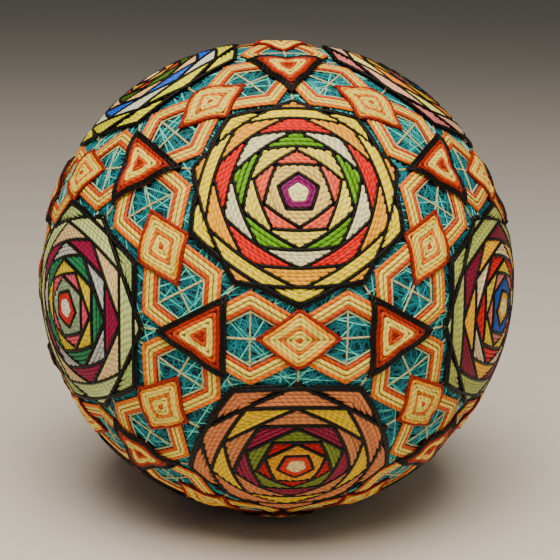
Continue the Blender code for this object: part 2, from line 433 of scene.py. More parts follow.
class Threads:
    """Threads that are laid one by one on the ball and then made one mesh."""

    def __init__(self, name, section=LOAF, underside=True):
        self.name, self.section, self.underside = name, section, underside
        self.points, self.dyes, self.strands, self.rings = [], [], [], []

    def lay(self, rays, level, dye, width=THREAD_WIDTH, height=THREAD_HEIGHT, closed=False):
        """Lays a thread along directions, its axis at a level above the wound ball."""
        level = np.broadcast_to(level, len(rays)).astype(float).copy()
        size = np.ones((len(rays), 1, 1))
        if not closed:
            level[[0, -1]] -= END_DIVE
            size[[0, -1]] = END_SHRINK
        axis = rays * (BALL_RADIUS + level)[:, None]
        tangent = np.gradient(axis, axis=0)
        if closed:
            tangent[[0, -1]] = axis[1] - axis[-2]
        side = np.cross(tangent, rays)
        side /= np.linalg.norm(side, axis=1, keepdims=True)
        across, up = self.section.T[:, None, :, None]
        ring = axis[:, None] + size * (side[:, None] * across * width / 2 + rays[:, None] * up * height)
        ring[..., 2] = np.maximum(ring[..., 2], LOWEST)
        along = np.append(0, np.cumsum(np.linalg.norm(np.diff(axis, axis=0), axis=1)))
        count = len(self.section)
        strand = np.empty((len(rays), count, 3))
        strand[..., 0] = along[:, None] / MM + rng.uniform(0, PLY_SHIFT)
        strand[..., 1] = np.arange(count) / (count - 1)
        strand[..., 2] = rng.uniform()
        self.points.append(ring.reshape(-1, 3))
        self.strands.append(strand.reshape(-1, 3))
        self.dyes.append(np.tile(dye, (len(rays) * count, 1)))
        self.rings.append((len(rays), along[-1]))


# %% [markdown]
# A thread is pulled straight from place to place and bends softly where it turns a corner. An open
# thread has two more points close to its ends, which keep the dive short. Small seeded wobbles of
# place, width and level make the rows hand-laid, not printed.

# %% Lead threads from corner to corner
STEP = 1.9 * MM
ROUNDING = 0.45 * MM
FARTHEST_SHARE = 0.3
WOBBLE = 0.028 * MM
THINNEST, THICKEST = 0.92, 1.07


def towards(start, end, distance):
    """The direction a short way from one direction to another."""
    gap = np.linalg.norm(end - start) * BALL_RADIUS
    return unit(start + (end - start) * min(distance / gap, FARTHEST_SHARE))


def run_to(rays, end, step):
    """Adds directions from the last one straight to an end."""
    start = rays[-1]
    count = max(1, math.ceil(np.linalg.norm(end - start) * BALL_RADIUS / step))
    rays += [unit(start + (end - start) * share) for share in np.arange(1, count + 1) / count]


def led(corners, step, over, closed):
    """Directions along straight pulls from corner to corner, run past open ends by some degrees."""
    corners = [unit(corner + rng.normal(0, WOBBLE / BALL_RADIUS, 3)) for corner in corners]
    if closed:
        corners = [corners[-1], *corners, corners[0]]
        rays = [towards(corners[1], corners[0], ROUNDING)]
    else:
        first, second, *_ = corners
        corners[0] = unit(first + unit(first - second) * math.radians(over))
        *_, second, first = corners
        corners[-1] = unit(first + unit(first - second) * math.radians(over))
        rays = [corners[0], towards(corners[0], corners[1], END_LENGTH)]
    for before, corner, after in zip(corners, corners[1:], corners[2:]):
        near, far = towards(corner, before, ROUNDING), towards(corner, after, ROUNDING)
        if np.linalg.norm(near - rays[-1]) > 1e-9:
            run_to(rays, near, step)
        rays += [unit(near + corner * 2 + far), far]
    if closed:
        run_to(rays, rays[0], step)
    else:
        run_to(rays, towards(corners[-1], corners[-2], END_LENGTH), step)
        rays.append(corners[-1])
    return np.array(rays)


def place(threads, rays, level, dye, width=THREAD_WIDTH, height=THREAD_HEIGHT, closed=False):
    """Lays a thread with its own small differences. The level may be a function of directions."""
    lift = level(rays) if callable(level) else level
    width = width * rng.uniform(THINNEST, THICKEST)
    threads.lay(rays, lift + rng.normal(0, WOBBLE), dye, width, height, closed)


def stitch(threads, corners, level, dye, over=0.0, step=STEP, **shape):
    """An open thread through corners."""
    place(threads, led(corners, step, over, False), level, dye, **shape)


def loop(threads, corners, level, dye, step=STEP, **shape):
    """One thread all round a closed outline."""
    place(threads, led(corners, step, 0.0, True), level, dye, closed=True, **shape)


def outline(threads, corners, level, dye, **shape):
    """A closed outline of single stitches, which can cross at its corners."""
    for ends in zip(corners, np.roll(corners, -1, axis=0)):
        stitch(threads, ends, level, dye, **shape)


# %% [markdown]
# The map named OFBake gives every strip its own place on a square, shelf by shelf, so that the
# thread's colours can be baked without unwrapping thousands of strips.

# %% Find each strip's place on the bake map
SHELF_GAP = 0.12 * MM
CHUNK_STEPS = 12
SQUARE_SLACK = 1.03


def bake_places(rings, count, girth):
    """The corners of each quad on the square, strip after strip on shelves."""
    chunks = []
    for number, length in rings:
        for first in range(0, number - 1, CHUNK_STEPS):
            taken = min(CHUNK_STEPS, number - 1 - first)
            chunks.append((taken, length * taken / (number - 1)))
    tall = girth + SHELF_GAP
    wide = np.array([length + SHELF_GAP for _, length in chunks])
    square = math.sqrt(wide.sum() * tall) * SQUARE_SLACK + wide.max() / 2
    places, x, y = [], 0.0, 0.0
    for (taken, length), room in zip(chunks, wide):
        if x + room > square:
            x, y = 0.0, y + tall
        u = x + length * np.arange(taken + 1) / taken
        v = y + girth * np.arange(count + 1) / count
        u_low, v_low = np.meshgrid(u[:-1], v[:-1], indexing="ij")
        u_high, v_high = np.meshgrid(u[1:], v[1:], indexing="ij")
        quad = np.stack([u_low, v_low, u_high, v_low, u_high, v_high, u_low, v_high], axis=-1)
        places.append(quad.reshape(-1, 2))
        x += room
    return np.concatenate(places) / max(square, y + tall)


# %% [markdown]
# Making the mesh is plain bookkeeping: rings of points joined by quads, with the dye and the place
# on its thread stored at every point.


# %% Turn laid threads into one mesh
def woven(threads, finish, girth=THREAD_GIRTH):
    """The mesh object of all the threads, standing in its place and riding on the one body."""
    count = len(threads.section)
    sides = np.arange(count if threads.underside else count - 1)
    points = np.concatenate(threads.points) + BALL_CENTRE
    quads, start = [], 0
    for number, _ in threads.rings:
        row = start + np.arange(number - 1)[:, None] * count
        here, after = row + sides, row + (sides + 1) % count
        quads.append(np.stack([here, here + count, after + count, after], axis=-1).reshape(-1, 4))
        start += number * count
    quads = np.concatenate(quads)
    mesh = bpy.data.meshes.new(threads.name)
    mesh.vertices.add(len(points))
    mesh.vertices.foreach_set("co", points.astype(np.float32).ravel())
    mesh.loops.add(quads.size)
    mesh.loops.foreach_set("vertex_index", quads.astype(np.int32).ravel())
    mesh.polygons.add(len(quads))
    mesh.polygons.foreach_set("loop_start", np.arange(0, quads.size, 4, dtype=np.int32))
    mesh.update(calc_edges=True)
    dyes = mesh.attributes.new("dye", "FLOAT_COLOR", "POINT")
    dyes.data.foreach_set("color", np.concatenate(threads.dyes).astype(np.float32).ravel())
    strands = mesh.attributes.new("strand", "FLOAT_VECTOR", "POINT")
    strands.data.foreach_set("vector", np.concatenate(threads.strands).astype(np.float32).ravel())
    bake_map = mesh.uv_layers.new(name="OFBake")
    places = bake_places(threads.rings, len(sides), girth)
    bake_map.data.foreach_set("uv", places.astype(np.float32).ravel())
    mesh.shade_smooth()
    mesh.materials.append(finish.material)
    obj = bpy.data.objects.new(threads.name, mesh)
    bpy.context.scene.collection.objects.link(obj)
    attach(obj, "root")
    print(f"{threads.name}: {len(threads.rings)} threads, {len(quads) * 2} triangles")
    return obj


# %% [markdown]
# Embroidery cotton is two plies twisted together, with a soft shine. Across the thread the twist
# shows as slanting ridges, with painted shade in the grooves between them; along it, noise makes
# lighter and darker streaks that are partly uneven dye and partly painted highlight; and the sides
# of each row get painted shade. The plies come from a sine of the place along and around the
# thread, the rest from noise that is stretched along it. `crown` is 1 along the top of a thread
# and falls towards its sides, where it paints the shade. A painted highlight pales single fibres a
# little, and more so on dyes that hold some blue, which are the pale ones; on a pure red or orange
# it would look chalky.

# %% Make the embroidery cotton
PLY_TURN = 1.15


def cotton(name, ply_length, relief, streak_contrast, **constants):
    """Twisted thread whose colour comes from the dye of each strand."""
    finish = Finish(name, **constants)
    dye = finish.attribute("dye", "Color")
    along, around, which = finish.parts(finish.attribute("strand", "Vector"))
    twist = along * (math.pi / ply_length) + around * (PLY_TURN * math.pi)
    ply = twist.maths("SINE").maths("ABSOLUTE")
    streak = finish.noise(along * 0.4, around * 4, which * 90)
    fibre = finish.noise(along * 0.9, around * 15 + along * 1.1, which * 70)
    # Painted shade on the sides of each row, where `crown` falls.
    crown = (1 - (around - 0.36).maths("ABSOLUTE") * 2.6).clamped()
    # Painted shade in the grooves of the twist, through `ply`; `which` is each thread's own tone.
    row_shade_and_tone = 0.44 + crown * 0.13 + ply * 0.44 + which * 0.16
    # Streaks along the thread: partly uneven dye, partly painted highlight.
    shade_and_tone = row_shade_and_tone + (streak - 0.5) * streak_contrast + (fibre - 0.5) * 0.7
    *_, blue = finish.parts(dye)
    # Painted highlight: single fibres paled, more on dyes that hold some blue.
    painted_highlight = ((fibre - 0.54) * 5).clamped() * (0.006 + blue * 0.13)
    finish.drive("Base Color", finish.paled(finish.shaded(dye, shade_and_tone), painted_highlight))
    finish.drive("Roughness", 0.62 - ply * 0.14 + (fibre - 0.5) * 0.2)
    finish.bump(ply * 0.75 + fibre * 0.25, relief)
    return finish


soft_shine = {"Sheen_Weight": 0.02, "Sheen_Roughness": 0.4, "Specular_IOR_Level": 0.2}
embroidery = cotton("embroidery_cotton", ply_length=1.3, relief=0.11 * MM, streak_contrast=0.6, **soft_shine)
print("finish:", embroidery.material.name)

# %% [markdown]
# Each rose is a star of pentagons. The maker stitches one pentagon round another, each turned half
# a corner from the last, so only the corners of each stay in sight, as petals. The sizes are the
# angles from the middle to the sides. Some roses have ten pentagons and end with corners towards
# their neighbours, and two of these are stitched with smaller middles. The others have nine
# pentagons and end with corners between the neighbours.

# %% List the pentagons of the roses
TEN = (3.6, 6.2, 7.9, 10.0, 11.8, 13.5, 15.4, 17.1, 19.2, 19.9)
SMALL_TEN = (3.5, 5.8, 7.3, 9.0, 10.9, 12.5, 14.3, 16.2, 18.9, 19.9)
NINE = (3.3, 5.6, 7.0, 9.0, 11.0, 13.1, 15.25, 17.6, 19.5)
CORNER_REACH = 1 / math.cos(math.radians(FIFTH / 2))


def corner_turn(layer):
    """Even pentagons point at the neighbour roses, odd ones between them."""
    return FIFTH / 2 * (layer % 2)


# %% [markdown]
# With the sizes known, a direction can be tested for being bare: outside the rose's two outer
# pentagons, the band, the diamonds and the triangles. The bare cells are the only places where the
# wound ball shows, so only there does it need real strands.

# %% Find the bare cells
BAND_OUT, BAND_IN = 3.9, 0.4
DIAMOND_LONG, DIAMOND_SHORT = 9.4, 6.9
TRIANGLE_SIDE = 5.5
EDGE_AXES = facing(WEDGE_EDGE, WEDGE_FACE)
FACE_AXES = facing(WEDGE_FACE, polar(0, 0))


def on_plane(rays, axes):
    """The places of directions on a motif's plane, and whether they face it."""
    seen = rays @ axes
    ahead = seen[:, 2] > 0.5
    return seen[:, :2] / np.where(ahead, seen[:, 2], 1)[:, None], ahead


def bare(rays, layers_of):
    """True where the wound ball shows."""
    wedge, nearest = folded(rays)
    out = np.hypot(wedge[:, 0], wedge[:, 1]) / wedge[:, 2]
    turn = np.arctan2(wedge[:, 1], wedge[:, 0])
    covered = np.zeros(len(rays), bool)
    for number, layers in enumerate(layers_of):
        for layer in (len(layers) - 1, len(layers)):
            side_turn = math.radians(corner_turn(layer + 1))
            inside = out * np.cos(turn - side_turn) < tan(layers[layer - 1])
            covered |= (nearest == number) & inside
    beyond = beyond_zigzag(wedge)
    covered |= (beyond > BAND_IN) & (beyond < BAND_OUT)
    spots, ahead = on_plane(wedge, EDGE_AXES)
    reach = np.abs(spots[:, 0]) / tan(DIAMOND_LONG) + np.abs(spots[:, 1]) / tan(DIAMOND_SHORT)
    covered |= ahead & (reach < 1)
    spots, ahead = on_plane(wedge, FACE_AXES)
    sides = [turned([1.0, 0.0], turn_to_side) for turn_to_side in (60, 180, 300)]
    covered |= ahead & (np.max([spots @ side for side in sides], axis=0) < tan(TRIANGLE_SIDE))
    return ~covered


# %% [markdown]
# The rose palettes were matched to the photograph, one dye for each pentagon from the middle
# outwards. The roses that the photograph doesn't show are guesses that mix the same family of dyes,
# because a maker usually repeats a small set of colours round the ball.

# %% Choose the dyes
CREAM = dyed(250, 214, 146)
SILVER_CREAM = dyed(206, 194, 164)
ORANGE = dyed(230, 134, 18)
AMBER = dyed(240, 166, 40)
ORANGE_RED = dyed(212, 98, 18)
RED_BROWN = dyed(172, 62, 20)
BLACK = dyed(30, 24, 20)
SEAM = dyed(168, 110, 50)

ROSE_DYES = {
    # name: (pentagons, (disc, ring, then the second pentagon outwards), small outer tips)
    "front_high": (TEN, (
        (240, 225, 190), (150, 30, 110), (230, 200, 150), (235, 120, 100), (235, 215, 140),
        (116, 172, 86), (225, 215, 190), (224, 52, 6), (240, 178, 84), (244, 212, 52),
        (244, 212, 52)), (230, 170, 100)),
    "front_low": (NINE, (
        (235, 205, 170), (210, 70, 40), (220, 165, 45), (195, 25, 22), (138, 148, 92),
        (165, 50, 84), (212, 146, 112), (224, 188, 82), (216, 144, 112), (216, 144, 112)),
        (225, 190, 175)),
    "side_left_front": (SMALL_TEN, (
        (240, 238, 225), (220, 50, 30), (170, 180, 160), (230, 110, 130), (225, 200, 90),
        (16, 146, 116), (204, 196, 198), (172, 20, 90), (228, 200, 168), (202, 208, 168),
        (184, 196, 150)), (206, 212, 172)),
    "side_right_front": (SMALL_TEN, (
        (240, 225, 190), (220, 170, 60), (20, 104, 176), (216, 136, 126), (228, 200, 62),
        (220, 50, 20), (230, 206, 182), (238, 184, 24), (150, 22, 70), (180, 184, 134),
        (180, 184, 134)), (190, 200, 158)),
    "top_left": (NINE, (
        (240, 225, 190), (150, 30, 110), (230, 180, 60), (225, 85, 55), (90, 130, 60),
        (240, 196, 160), (20, 124, 216), (220, 215, 205), (226, 220, 98), (226, 220, 98)),
        (225, 220, 205)),
    "top_right": (NINE, (
        (240, 225, 190), (210, 70, 40), (120, 160, 80), (60, 110, 160), (150, 85, 90),
        (190, 160, 85), (235, 150, 60), (250, 222, 160), (238, 188, 172), (218, 138, 138)),
        (225, 190, 190)),
    "back_high": (NINE, (
        (240, 225, 190), (220, 170, 60), (190, 25, 25), (230, 200, 150), (10, 140, 100),
        (225, 200, 90), (150, 45, 75), (225, 215, 190), (222, 135, 110), (222, 135, 110)),
        (235, 205, 180)),
    "back_low": (TEN, (
        (240, 238, 225), (30, 110, 180), (225, 200, 90), (220, 50, 30), (225, 195, 165),
        (150, 15, 80), (170, 180, 160), (20, 120, 200), (235, 150, 70), (240, 215, 80),
        (240, 215, 80)), (230, 185, 120)),
    "base_left": (NINE, (
        (240, 225, 190), (190, 25, 25), (235, 215, 140), (100, 170, 70), (230, 110, 130),
        (30, 110, 180), (225, 195, 165), (150, 30, 110), (190, 120, 130), (190, 120, 130)),
        (225, 190, 190)),
    "base_right": (NINE, (
        (235, 205, 170), (150, 30, 110), (225, 200, 90), (10, 140, 100), (230, 120, 90),
        (220, 215, 200), (170, 15, 90), (230, 180, 60), (205, 212, 95), (205, 212, 95)),
        (225, 220, 205)),
    "side_left_back": (TEN, (
        (240, 225, 190), (210, 70, 40), (200, 195, 195), (150, 30, 110), (225, 200, 90),
        (30, 110, 180), (235, 180, 140), (100, 150, 70), (230, 60, 30), (243, 218, 80),
        (243, 218, 80)), (230, 180, 110)),
    "side_right_back": (TEN, (
        (240, 238, 225), (220, 170, 60), (220, 130, 130), (20, 120, 200), (230, 200, 150),
        (190, 25, 25), (125, 145, 80), (235, 215, 140), (150, 45, 75), (243, 218, 80),
        (243, 218, 80)), (235, 190, 120)),
}
LAYERS_OF = [ROSE_DYES[name][0] for name in ROSES]
print("roses with nine pentagons:", [name for name in ROSES if ROSE_DYES[name][0] is NINE])

# %% [markdown]
# Under all the stitching the ball is wrapped at random in teal sewing thread, the way a ball of
# wool is wound. A dark inner sphere stands for the deep turns, its darkness painted shade. Over it
# lie real strands, each a great circle with its own tilt, and the lower a strand lies, the darker
# its teal, as painted shade; a few on top get a pale painted highlight. Strands are cut away where
# the embroidery hides them.

# %% Wind the ball
WINDINGS = 940
SEWING_WIDTH = 0.25 * MM
SEWING_HEIGHT = 0.12 * MM
SEWING_GIRTH = 0.6 * MM
WINDING_SPREAD = 0.13 * MM
SHADED_TEAL, TEAL, HIGHLIGHT_TEAL = dyed(4, 46, 54), dyed(32, 160, 172), dyed(118, 224, 216)
SHORTEST_RUN = 3
HIGHLIGHT_FROM, HIGHLIGHT_SHARE = 0.8, 0.35
DARKEST, BRIGHTEST = 0.75, 1.2
TURN_STEPS = 120
TURN = np.linspace(0, 2 * math.pi, TURN_STEPS + 1)[:, None]


def runs(showing):
    """Where each run of True starts and ends."""
    steps = np.diff(np.concatenate([[0], showing.astype(int), [0]]))
    return zip(np.flatnonzero(steps == 1), np.flatnonzero(steps == -1))


winding = Threads("wound_strands", RIDGE, underside=False)
for pole in rng.normal(size=(WINDINGS, 3)):
    turn_axes = facing(pole, np.roll(unit(pole), 1) + 0.1)
    rays = np.cos(TURN) * turn_axes[:, 0] + np.sin(TURN) * turn_axes[:, 1]
    showing = bare(rays, LAYERS_OF)
    showing[1:] |= showing[:-1].copy()
    showing[:-1] |= showing[1:].copy()
    for first, last in runs(showing):
        if last - first < SHORTEST_RUN:
            continue
        lift = rng.uniform(0, 1)
        # Painted shade: the lower a strand lies, the darker its teal; a few high ones get a pale painted
        # highlight.
        dye = np.array(SHADED_TEAL) * (1 - lift) + np.array(TEAL) * lift
        if lift > HIGHLIGHT_FROM and rng.uniform() < HIGHLIGHT_SHARE:
            dye = np.array(HIGHLIGHT_TEAL)
        level = (2 * lift - 1) * WINDING_SPREAD
        dye = dye * rng.uniform(DARKEST, BRIGHTEST)
        winding.lay(rays[first:last], level, dye, SEWING_WIDTH, SEWING_HEIGHT)

sewing_thread = cotton("teal_sewing_thread", ply_length=0.5, relief=0.02 * MM, streak_contrast=0.5, **soft_shine)
wound_strands = woven(winding, sewing_thread, girth=SEWING_GIRTH)

# %% [markdown]
# The inner sphere carries the deep turns as colour and relief only, because they show as thin
# slivers between the strands. Two noises, each squeezed along its own direction, cross like turns.
# Its dark teal is painted shade, darkest between the turns.

# %% Make the deep turns
INNER_LEVEL = -0.12 * MM
deep = Finish("shaded_deep_turns", Roughness=0.8)
x, y, z = deep.parts(deep.add("ShaderNodeTexCoord", {}, {}, "Object"))
one_way = deep.noise(x * 5200, y * 260, z * 700)
other_way = deep.noise(x * 300, y * 900, z * 5200)
shaded_deep_turns = one_way.maths("MAXIMUM", other_way)
# Painted shade: the deep turns are dark teal, darkest between the turns.
deep.drive("Base Color", deep.shaded(dyed(10, 62, 76)[:3], 0.1 + shaded_deep_turns * 1.0))
deep.bump(shaded_deep_turns, 0.05 * MM)

SPHERE_AROUND, SPHERE_DOWN = 96, 48
sphere_rays = [polar(0, 0), polar(180, 0)]
for down in range(1, SPHERE_DOWN):
    for around in range(SPHERE_AROUND):
        sphere_rays.append(polar(180 * down / SPHERE_DOWN, 360 * around / SPHERE_AROUND))
sphere_faces = []
bottom = len(sphere_rays) - SPHERE_AROUND
for around in range(SPHERE_AROUND):
    after = (around + 1) % SPHERE_AROUND
    sphere_faces.append((0, 2 + around, 2 + after))
    sphere_faces.append((1, bottom + after, bottom + around))
    for row in range(2, bottom, SPHERE_AROUND):
        below = row + SPHERE_AROUND
        sphere_faces.append((row + around, below + around, below + after, row + after))
sphere_points = np.array(sphere_rays) * (BALL_RADIUS + INNER_LEVEL) + BALL_CENTRE
sphere_mesh = bpy.data.meshes.new("wound_ball_turns")
sphere_mesh.from_pydata(sphere_points.tolist(), [], sphere_faces)
sphere_mesh.shade_smooth()
sphere_mesh.materials.append(deep.material)
wound_turns = bpy.data.objects.new("wound_ball_turns", sphere_mesh)
bpy.context.scene.collection.objects.link(wound_turns)
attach(wound_turns, "root")
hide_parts("wound_ball")
print("inner sphere:", len(sphere_faces), "faces")

# %% [markdown]
# Silvery marking threads divide the ball before anything is stitched. They stay in sight in the
# bare cells: from face to edge and rose, along the inner side of the band, and square across the
# line from edge to face. They lie straight on the winding, so they run beneath everything else.

# %% Lay the marking threads
MARK_LEVEL = 0.22 * MM
MARK_SHAPE = {"width": 0.40 * MM, "height": 0.17 * MM, "step": 2.6 * MM}
MARK_REACH = 12.5
FACE_MARK_END = 15.0
EDGE_MARK_END = 12.0
MARK_TAIL = 0.4

marking = Threads("marking_threads")
for pair in EDGES:
    middle = unit(sum(pair))
    axes = facing(middle, np.cross(*pair))
    for side in (1, -1):
        halfway = side * tan(EDGE_TO_FACE / 2)
        to_face = cast([[0, 0], [2 * halfway, 0]], axes)
        square_across = cast([[halfway, -tan(MARK_REACH)], [halfway, tan(MARK_REACH)]], axes)
        to_rose = cast([[0, 0], [0, side * tan(EDGE_MARK_END)]], axes)
        for ends in (to_face, square_across, to_rose):
            stitch(marking, ends, MARK_LEVEL, SILVER_CREAM, **MARK_SHAPE)
for trio in FACES:
    for rose in trio:
        ends = cast([[0, 0], [tan(FACE_MARK_END), 0]], facing(sum(trio), rose))
        stitch(marking, ends, MARK_LEVEL, SILVER_CREAM, **MARK_SHAPE)
print("straight marks:", len(marking.rings))

# %% [markdown]
# The bands follow the zigzag, one row beside another on the rose's side of it. Where two sides of
# a row meet, the corner keeps the same distance from both, as neighbouring rows of a quilt do.


# %% Lead the zigzag round a rose
def beside(before, corner, after, offset):
    """The corner of a path, moved to its left by some degrees."""
    first, second = unit(np.cross(before, corner)), unit(np.cross(corner, after))
    inside = (first + second) * math.sin(math.radians(offset)) / (1 + first @ second)
    along = unit(np.cross(first, second))
    return inside + along * math.copysign(math.sqrt(1 - inside @ inside), along @ corner)


def spin(turn):
    """The matrix that turns directions round +Z by some degrees."""
    c, s = math.cos(math.radians(turn)), math.sin(math.radians(turn))
    return np.array([[c, -s, 0], [s, c, 0], [0, 0, 1]])


def zigzag(axes):
    """The twenty corners of the zigzag round a rose, anticlockwise: edge, peak, face, peak."""
    mirrored = WEDGE_PEAK * (1, -1, 1)
    corners = []
    for fifth in range(5):
        here, there = axes @ spin(fifth * FIFTH), axes @ spin((fifth + 1) * FIFTH)
        corners += [here @ WEDGE_EDGE, here @ WEDGE_PEAK, here @ WEDGE_FACE, there @ mirrored]
    return corners


# %% [markdown]
# Each band is orange, two creams and a darker orange-red, counted from the rose's side. The orange
# rows cross a little at their bends, which gives the small tails there. A fine brown seam lies
# between the creams, a marking thread along the path itself, and a flat red-brown pad beneath
# hides the winding, its dark colour painted shade in the gaps between rows.

# %% Stitch the zigzag bands
BAND_LEVEL = 0.44 * MM
BAND_ROWS = ((3.46, ORANGE), (2.58, CREAM), (1.70, CREAM), (0.82, ORANGE_RED))
BAND_WIDTH = 0.80 * MM
BAND_STEP = 2.3 * MM
BAND_TAIL = 0.35
BAND_PAD_LEVEL, BAND_PAD_WIDTH = 0.26 * MM, 2.6 * MM
PAD_HEIGHT = 0.16 * MM
SEAM_OFFSET = 2.14
SEAM_RISE = 0.10 * MM
SEAM_SHAPE = {"width": 0.22 * MM, "height": 0.16 * MM}
bands = Threads("zigzag_bands")
for name, axes in rose_axes.items():
    path = zigzag(axes)
    around = [(path[i - 1], path[i], path[(i + 1) % len(path)]) for i in range(len(path))]
    # The red-brown pad under the band is painted shade in the gaps between its rows.
    pad = [beside(*corner, (BAND_OUT + BAND_IN) / 2) for corner in around]
    loop(bands, pad, BAND_PAD_LEVEL, RED_BROWN, width=BAND_PAD_WIDTH, height=PAD_HEIGHT, step=BAND_STEP)
    outline(marking, path, MARK_LEVEL, SILVER_CREAM, over=MARK_TAIL, **MARK_SHAPE)
    for offset, dye in BAND_ROWS:
        row = [beside(*corner, offset) for corner in around]
        if dye is ORANGE:
            outline(bands, row, BAND_LEVEL, dye, width=BAND_WIDTH, over=BAND_TAIL, step=BAND_STEP)
        else:
            loop(bands, row, BAND_LEVEL, dye, width=BAND_WIDTH, step=BAND_STEP)
    seam = [beside(*corner, SEAM_OFFSET) for corner in around]
    loop(bands, seam, BAND_LEVEL + SEAM_RISE, SEAM, step=BAND_STEP, **SEAM_SHAPE)
zigzag_bands = woven(bands, embroidery)
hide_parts("band_lattice")
marking_threads = woven(marking, embroidery)

# %% [markdown]
# Diamonds and triangles are stitched over the finished bands. They climb where a band lies under
# them and drop to the winding beyond it, so their level is asked for at every point.

# %% Stitch the diamonds
FOOT_IN, FOOT_OUT = 1.8, 0.9


def over_bands(low, high):
    """A level function that rises from low to high where a band lies beneath."""

    def level(rays):
        beyond = beyond_zigzag(folded(rays)[0])
        rising = np.clip((beyond + FOOT_IN - BAND_IN) / FOOT_IN, 0, 1)
        falling = np.clip((BAND_OUT + FOOT_OUT - beyond) / FOOT_OUT, 0, 1)
        return low + (high - low) * np.minimum(rising, falling)

    return level


DIAMOND_ROWS = (
    # degrees from the middle to the row, dye
    (5.22, RED_BROWN), (4.50, AMBER), (3.78, CREAM), (3.06, CREAM), (2.34, ORANGE),
    (1.62, CREAM), (0.92, CREAM), (0.28, ORANGE_RED),
)
DIAMOND_RISE = over_bands(0.40 * MM, 0.95 * MM)
DIAMOND_PAD = over_bands(0.18 * MM, 0.72 * MM)
DIAMOND_PAD_PLACES = (1.2, 3.0, 4.6)
PAD_WIDTH = 1.7 * MM
EDGE_WIDTH, ROW_WIDTH = 0.66 * MM, 0.68 * MM
DIAMOND_TAIL = 0.6
long_half, short_half = tan(DIAMOND_LONG), tan(DIAMOND_SHORT)
side_distance = long_half * short_half / math.hypot(long_half, short_half)


def diamond_corners(distance, axes):
    """The four corners of a diamond whose sides lie that many degrees from its middle."""
    reach = np.array([(long_half, 0), (0, short_half), (-long_half, 0), (0, -short_half)])
    return cast(reach * tan(distance) / side_distance, axes)


diamonds = Threads("diamonds")
for pair in EDGES:
    axes = facing(sum(pair), np.cross(*pair))
    # Red-brown pads under the rows: painted shade in the gaps between them.
    for distance in DIAMOND_PAD_PLACES:
        corners = diamond_corners(distance, axes)
        loop(diamonds, corners, DIAMOND_PAD, RED_BROWN, width=PAD_WIDTH, height=PAD_HEIGHT)
    for distance, dye in DIAMOND_ROWS:
        corners = diamond_corners(distance, axes)
        if dye is RED_BROWN:
            outline(diamonds, corners, DIAMOND_RISE, dye, width=EDGE_WIDTH, over=DIAMOND_TAIL)
        else:
            loop(diamonds, corners, DIAMOND_RISE, dye, width=ROW_WIDTH)
diamond_piece = woven(diamonds, embroidery)

# %% [markdown]
# Each triangle is its own small piece with a filled middle, rings of orange-red, cream and
# red-brown, and two black rows outside whose ends cross at the corners.

# %% Stitch the triangles
TRIANGLE_ROWS = (
    (0.35, RED_BROWN), (0.98, ORANGE_RED), (1.62, CREAM), (2.34, CREAM), (3.06, ORANGE_RED),
    (3.80, RED_BROWN), (4.52, BLACK), (5.16, BLACK),
)
TRIANGLE_RISE = over_bands(0.62 * MM, 1.20 * MM)
TRIANGLE_PAD = over_bands(0.30 * MM, 0.95 * MM)
TRIANGLE_PAD_PLACES = (1.0, 2.8, 4.4)
TRIANGLE_EDGE_WIDTH = 0.64 * MM
TRIANGLE_TAIL = 0.6


def triangle_corners(distance, axes):
    """The corners of a triangle whose sides lie that many degrees from its middle."""
    corner = [2 * tan(distance), 0.0]
    return cast([turned(corner, turn) for turn in (0, 120, 240)], axes)


for number, trio in enumerate(FACES, 1):
    axes = facing(sum(trio), trio[0])
    threads = Threads(f"triangle_thread_{number:02d}")
    # Red-brown pads under the rows: painted shade in the gaps between them.
    for distance in TRIANGLE_PAD_PLACES:
        corners = triangle_corners(distance, axes)
        loop(threads, corners, TRIANGLE_PAD, RED_BROWN, width=PAD_WIDTH, height=PAD_HEIGHT)
    for distance, dye in TRIANGLE_ROWS:
        corners = triangle_corners(distance, axes)
        if dye is BLACK:
            outline(threads, corners, TRIANGLE_RISE, dye, width=TRIANGLE_EDGE_WIDTH, over=TRIANGLE_TAIL)
        else:
            loop(threads, corners, TRIANGLE_RISE, dye)
    piece = woven(threads, embroidery)
    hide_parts(f"triangle_{number:02d}")

# %% [markdown]
# A rose is stitched from the middle outwards. Petal rows run parallel to the pentagon inside them,
# each row reaching from one side of its own pentagon to the other. One black row outlines every
# pentagon, and its ends cross the next pentagon's outline. The last pentagon has rows that follow
# its own sides and meet in a point. Rows that cross a padded middle slide outwards a little, so the
# sides of the larger pentagons bow, most at their middles.

# %% Draw the rows of a rose on its plane
BOW = 0.10
FULL_BOW = tan(12)
HALF_SIDE = tan(FIFTH / 2)
CURVE_STEP = STEP / BALL_RADIUS
LONGEST_TIP = 0.2
REACH_SAMPLES = 160
CORNER_OUT = 0.3


def bowed(apothem, across):
    """How far out a side lies at some places along it."""
    half = apothem * HALF_SIDE
    return apothem + BOW * min(1, apothem / FULL_BOW) * half * (1 - (across / half) ** 2)


def within(points, layer, sides):
    """True where points on the plane lie inside a bowed pentagon."""
    points = np.atleast_2d(points)
    turn = np.degrees(np.arctan2(points[:, 1], points[:, 0])) - corner_turn(layer + 1)
    turn = np.radians((turn + FIFTH / 2) % FIFTH - FIFTH / 2)
    out = np.hypot(points[:, 0], points[:, 1])
    return out * np.cos(turn) < bowed(sides[layer], out * np.sin(turn))


def spread_out(first, last):
    """Places along a row, with one more close to each end."""
    count = max(2, math.ceil((last - first) / CURVE_STEP))
    places = np.linspace(first, last, count + 1)
    tip = min(END_LENGTH / BALL_RADIUS, (last - first) * LONGEST_TIP)
    return np.concatenate([[first, first + tip], places[1:-1], [last - tip, last]])


def crossbar(apothem, half):
    """A bowed row square to +X, from -half to half."""
    across = spread_out(-half, half)
    return np.column_stack([bowed(apothem, across), across])


